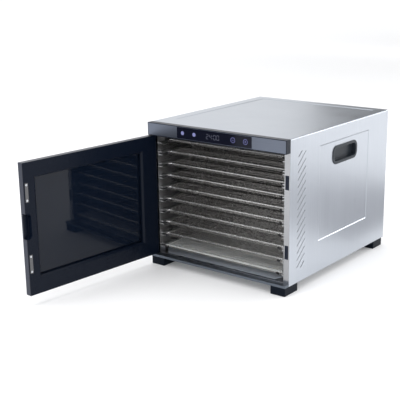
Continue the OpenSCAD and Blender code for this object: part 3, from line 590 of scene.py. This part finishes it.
# ---- Wire trays ----
# Each tray is a rim of 4 mm bright-plated wire with rounded corners. A screen of thin
# crossed wires is welded to it, and a black sleeve covers each front corner.
tray_lo, tray_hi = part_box("tray_10")
rim_r = (tray_hi.z - tray_lo.z) / 2
tray_z = (tray_lo.z + tray_hi.z) / 2
bend_r = 0.008
screen_r, screen_pitch = 0.0007, 0.0066
screen_drop = 1.7 * screen_r
sleeve_r, sleeve_turn = rim_r * 1.16, math.radians(60)


def around_corner(centre, turn):
    """Turns the selected loop a quarter round a corner's centre."""
    bpy.ops.mesh.spin(steps=7, angle=turn, center=centre, axis=(0, 0, 1))


def onwards(shift):
    """Draws what is selected on in a straight line."""
    bpy.ops.mesh.extrude_region_move(TRANSFORM_OT_translate={"value": shift})


def tray_rim():
    """The rim: a round loop drawn along two sides and round four bends."""
    x, y0, y1 = tray_hi.x - rim_r, tray_lo.y + rim_r, tray_hi.y - rim_r
    mid = (y0 + y1) / 2
    long, wide = y1 - bend_r - mid, 2 * (x - bend_r)
    bpy.ops.mesh.primitive_circle_add(vertices=12, radius=rim_r, location=(-x, mid, tray_z),
                                      rotation=(math.pi / 2, 0, 0))
    settled()
    bpy.ops.object.mode_set(mode="EDIT")
    bpy.ops.mesh.select_all(action="SELECT")
    quarter = -math.pi / 2
    onwards((0, long, 0))
    around_corner((-x + bend_r, y1 - bend_r, tray_z), quarter)
    onwards((wide, 0, 0))
    around_corner((x - bend_r, y1 - bend_r, tray_z), quarter)
    onwards((0, -(y1 - y0 - 2 * bend_r), 0))
    around_corner((x - bend_r, y0 + bend_r, tray_z), quarter)
    onwards((-wide, 0, 0))
    around_corner((-x + bend_r, y0 + bend_r, tray_z), quarter)
    onwards((0, mid - y0 - bend_r, 0))
    bpy.ops.mesh.select_all(action="SELECT")
    bpy.ops.mesh.remove_doubles(threshold=0.00001)
    bpy.ops.mesh.normals_make_consistent(inside=False)
    bpy.ops.object.mode_set(mode="OBJECT")
    return bpy.context.active_object


def repeated(piece, count, shift):
    """A row of count copies in one mesh, each moved on by shift."""
    repeat = piece.modifiers.new("repeat", "ARRAY")
    repeat.count = count
    repeat.use_relative_offset = False
    repeat.use_constant_offset = True
    repeat.constant_offset_displace = shift
    bpy.ops.object.modifier_apply(modifier="repeat")
    return piece


def screen_wires(along_y):
    """One set of the screen's wires, side by side, each with eased ends."""
    reach = (tray_hi.y - tray_lo.y if along_y else tray_hi.x - tray_lo.x) - 2 * rim_r
    room = (tray_hi.x - tray_lo.x if along_y else tray_hi.y - tray_lo.y) - 2 * rim_r
    count = int(room / screen_pitch)
    start = -(count - 1) * screen_pitch / 2
    middle = (tray_lo.y + tray_hi.y) / 2
    bpy.ops.mesh.primitive_cylinder_add(
        vertices=6, radius=screen_r, depth=reach,
        location=(start, middle, tray_z) if along_y
        else (0, middle + start, tray_z - screen_drop),
        rotation=(math.pi / 2, 0, 0) if along_y else (0, math.pi / 2, 0))
    return repeated(settled(), count,
                    (screen_pitch, 0, 0) if along_y else (0, screen_pitch, 0))


def corner_sleeve(side):
    """A short black sleeve round the rim at one front corner."""
    x, y0 = tray_hi.x - rim_r, tray_lo.y + rim_r
    bpy.ops.mesh.primitive_circle_add(vertices=16, radius=sleeve_r,
                                      location=(side * (x - bend_r), y0, tray_z),
                                      rotation=(0, math.pi / 2, 0), fill_type="NGON")
    sleeve = settled()
    bpy.ops.object.mode_set(mode="EDIT")
    bpy.ops.mesh.select_all(action="SELECT")
    bpy.ops.mesh.spin(steps=6, angle=side * sleeve_turn,
                      center=(side * (x - bend_r), y0 + bend_r, tray_z), axis=(0, 0, 1))
    bpy.ops.mesh.select_all(action="SELECT")
    bpy.ops.mesh.normals_make_consistent(inside=False)
    bpy.ops.object.mode_set(mode="OBJECT")
    return sleeve


# The rim wire is bright-plated, and its near-white colour is also painted light, standing for
# light that the rims miss where they sit shaded inside the cabinet.
rim_wire_painted_light = grained("bright_wire_painted_light", (0.95, 0.95, 0.94), 1, 0.25, (90, 90, 90), tone=0.04,
                     spread=0.08, relief=0.04)
screen_steel = grained("screen_wire", (0.50, 0.49, 0.48), 1, 0.26, (200, 200, 200), tone=0.15,
                       spread=0.1, relief=0.05)
sleeve_rubber = grained("sleeve_rubber", (0.015, 0.015, 0.018), 0, 0.5, (800, 800, 800),
                        relief=0.15)
screens = [screen_wires(True), screen_wires(False)]
rim = tray_rim()
wear(rim, rim_wire_painted_light)
for screen in screens:
    wear(screen, screen_steel)
first_tray = joined([rim, *screens], "tray_10_wires")
bpy.ops.object.shade_smooth_by_angle(angle=math.radians(60))
first_sleeves = joined([corner_sleeve(-1), corner_sleeve(1)], "tray_10_sleeves")
bpy.ops.object.shade_smooth_by_angle(angle=math.radians(50))
for number in range(1, 11):
    node = f"tray_{number:02d}"
    if number < 10:
        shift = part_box(node)[0] - tray_lo
        wires = copied(first_tray, node + "_wires", shift)
        sleeves = copied(first_sleeves, node + "_sleeves", shift)
    else:
        wires, sleeves = first_tray, first_sleeves
    wear(sleeves, sleeve_rubber)
    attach(wires, node)
    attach(sleeves, node)
    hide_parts(node)


# ---- Mesh sheet ----
# A white food-grade plastic net lies on the lowest tray, for small pieces that would
# fall through the wires. It is moulded in one piece with a plain border.
net_lo, net_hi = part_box("mesh_sheet")
net_z = (net_lo.z + net_hi.z) / 2
net_pitch, strand = 0.0042, 0.0011
net_cross, strand_in = 0.00012, 0.002
border_in, border_w, border_t = 0.001, 0.003, 0.0003
net_centre = (net_lo + net_hi) / 2
net_parts = []
for along_y in (True, False):
    reach = (net_hi.y - net_lo.y) if along_y else (net_hi.x - net_lo.x)
    room = (net_hi.x - net_lo.x) if along_y else (net_hi.y - net_lo.y)
    count = int((room - 2 * border_w) / net_pitch)
    start = -(count - 1) * net_pitch / 2
    lift = net_cross if along_y else -net_cross
    bpy.ops.mesh.primitive_cylinder_add(
        vertices=6, radius=strand / 2, depth=reach - 2 * strand_in,
        location=(net_centre.x + (start if along_y else 0),
                  net_centre.y + (0 if along_y else start), net_z + lift),
        rotation=(math.pi / 2, 0, 0) if along_y else (0, math.pi / 2, 0))
    strands = settled()
    bpy.ops.object.mode_set(mode="EDIT")
    bpy.ops.mesh.select_all(action="SELECT")
    bpy.ops.transform.resize(value=(1, 1, 0.5), center_override=(0, 0, net_z + lift))
    bpy.ops.object.mode_set(mode="OBJECT")
    net_parts.append(repeated(strands, count,
                              (net_pitch, 0, 0) if along_y else (0, net_pitch, 0)))
bpy.ops.mesh.primitive_plane_add(size=1, location=(net_centre.x, net_centre.y, net_z))
border = bpy.context.active_object
border.scale = (net_hi.x - net_lo.x - 2 * border_in,
                net_hi.y - net_lo.y - 2 * border_in, 1)
settled()
bpy.ops.object.mode_set(mode="EDIT")
bpy.ops.mesh.select_mode(type="FACE")
bpy.ops.mesh.select_all(action="SELECT")
bpy.ops.mesh.inset(thickness=border_w)
bpy.ops.mesh.delete(type="FACE")
bpy.ops.mesh.select_all(action="SELECT")
onwards((0, 0, border_t))
bpy.ops.mesh.select_all(action="SELECT")
bpy.ops.mesh.normals_make_consistent(inside=False)
bpy.ops.object.mode_set(mode="OBJECT")
net = joined([border, *net_parts], "mesh_sheet_net")
bpy.ops.object.shade_smooth_by_angle(angle=math.radians(50))
wear(net, grained("net_plastic", (0.86, 0.86, 0.83), 0, 0.42, (300, 300, 300), tone=0.03,
                  relief=0.05, Subsurface_Weight=0.1))
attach(net, "tray_10")
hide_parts("mesh_sheet")


# ---- Drip tray ----
# A shallow pan folded from satin aluminium sheet slides in under the wire trays. Its
# front edge is turned down into a sloping lip with cut corners.
drip_metal = grained("satin_drip_sheet", (0.68, 0.73, 0.80), 1, 0.36, (6, 500, 500),
                     tone=0.04, spread=0.08, relief=0.06)
softened("drip_tray", drip_metal, 0.0002)


# ---- Fan, heater and electrics ----
# An aluminium fan on its motor blows air over a ring heater, and two circuit boards
# control it. All of it shows only through the slots of the baffle and the rear cover.
fan_metal = grained("fan_aluminium", (0.66, 0.67, 0.69), 1, 0.34, (200, 200, 200), spread=0.1)
coat(fan_metal, "fan_rotor")
coat(screw_zinc, "fan_shaft", "temperature_probe")
motor_paint = grained("motor_paint", (0.06, 0.06, 0.066), 0, 0.4, (500, 500, 500), relief=0.3)
coat(motor_paint, "fan_motor")
heater_steel = grained("heater_steel", (0.26, 0.21, 0.17), 1, 0.42, (60, 60, 60), tone=0.35)
coat(heater_steel, "heater_element")
solder_mask = grained("solder_mask", (0.03, 0.16, 0.07), 0, 0.3, (900, 900, 900), tone=0.2)
coat(solder_mask, "control_board", "power_board")
coat(housing_plastic, "display_module", "thermal_cutout")
pad_foam = grained("pad_foam", (0.62, 0.60, 0.50), 0, 0.6, (900, 900, 900), relief=0.3)
coat(pad_foam, "touch_pads")
wire_jacket = grained("wire_jacket", (0.45, 0.05, 0.04), 0, 0.45, (300, 300, 300), relief=0.1)
coat(wire_jacket, "wiring_loom")


# ---- Studio ----
# A flat pale floor, four soft square lamps and a bright surround, so that the steel
# shows smooth grey gradients, with two matt cards that it mirrors as darker tones.
floor_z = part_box("foot_front_left")[0].z
bpy.ops.mesh.primitive_plane_add(size=80, location=(0, 0, floor_z))
floor = bpy.context.active_object
floor.name = "studio_floor"
wear(floor, grained("floor_paper", (0.93, 0.93, 0.935), 0, 0.6, (3, 3, 3), tone=0.005,
                   relief=0.0, Emission_Color=(1, 1, 1, 1), Emission_Strength=0.07))

world = bpy.data.worlds.new("studio")
bpy.context.scene.world = world
world.use_nodes = True
world.node_tree.nodes["Background"].inputs["Color"].default_value = (0.985, 0.99, 1.0, 1)
world.node_tree.nodes["Background"].inputs["Strength"].default_value = 1.05


def lamp(name, place, aim, size, power):
    """A square soft box that points at aim, its size in metres and power in watts."""
    light = bpy.data.lights.new(name, "AREA")
    light.size = size
    light.energy = power
    holder = bpy.data.objects.new(name, light)
    bpy.context.scene.collection.objects.link(holder)
    holder.location = place
    holder.rotation_euler = (Vector(aim) - Vector(place)).to_track_quat("-Z", "Y").to_euler()


lamp("key", (-0.6, -2.2, 2.4), (0, 0, 0.15), 1.6, 26)
lamp("top", (0.1, 0.3, 2.6), (0, 0.1, 0.3), 2.0, 16)
lamp("side", (2.6, 0.2, 1.5), (0.2, 0, 0.15), 1.6, 4)
lamp("edge", (2.0, 2.9, 1.0), (0.2, 0, 0.15), 0.9, 14)


def flag(name, place, turn, wide, high, tone):
    """A matt card for the steel to mirror. The lens sees its shadow, not the card."""
    bpy.ops.mesh.primitive_plane_add(size=1, location=place, rotation=turn)
    card = bpy.context.active_object
    card.name = card.data.name = name
    card.scale = (wide, high, 1)
    card.visible_camera = False
    wear(card, grained(name + "_paper", (tone, tone, tone * 1.05), 0, 0.8, (30, 30, 30),
                       relief=0.1))


flag("side_flag", (0.56, 0.50, floor_z + 0.002), (0, 0, 0), 0.56, 0.62, 0.38)
flag("top_flag", (-1.35, 4.5, 1.9), (math.pi / 2, 0, 0), 2.4, 2.2, 0.06)

# The camera stands to the front right and looks a little down on the cabinet.
camera_place = (1.1956, -1.7995, 0.7159)
azimuth, elevation = math.radians(38.438), math.radians(15.434)
roll = math.radians(-0.824)
back = Vector((math.sin(azimuth) * math.cos(elevation),
               -math.cos(azimuth) * math.cos(elevation), math.sin(elevation)))
right = Vector((math.cos(azimuth), math.sin(azimuth), 0))
up = back.cross(right)
across = math.cos(roll) * right + math.sin(roll) * up
above = -math.sin(roll) * right + math.cos(roll) * up
camera = bpy.data.objects.new("camera", bpy.data.cameras.new("camera"))
bpy.context.scene.collection.objects.link(camera)
camera.data.lens = 79.87
camera.data.sensor_width = 36
camera.data.clip_end = 100
camera.matrix_world = Matrix([(*row, place) for row, place in
                              zip(zip(across, above, back), camera_place)]
                             + [(0, 0, 0, 1)])
bpy.context.scene.camera = camera
bpy.context.scene.view_settings.view_transform = "Standard"
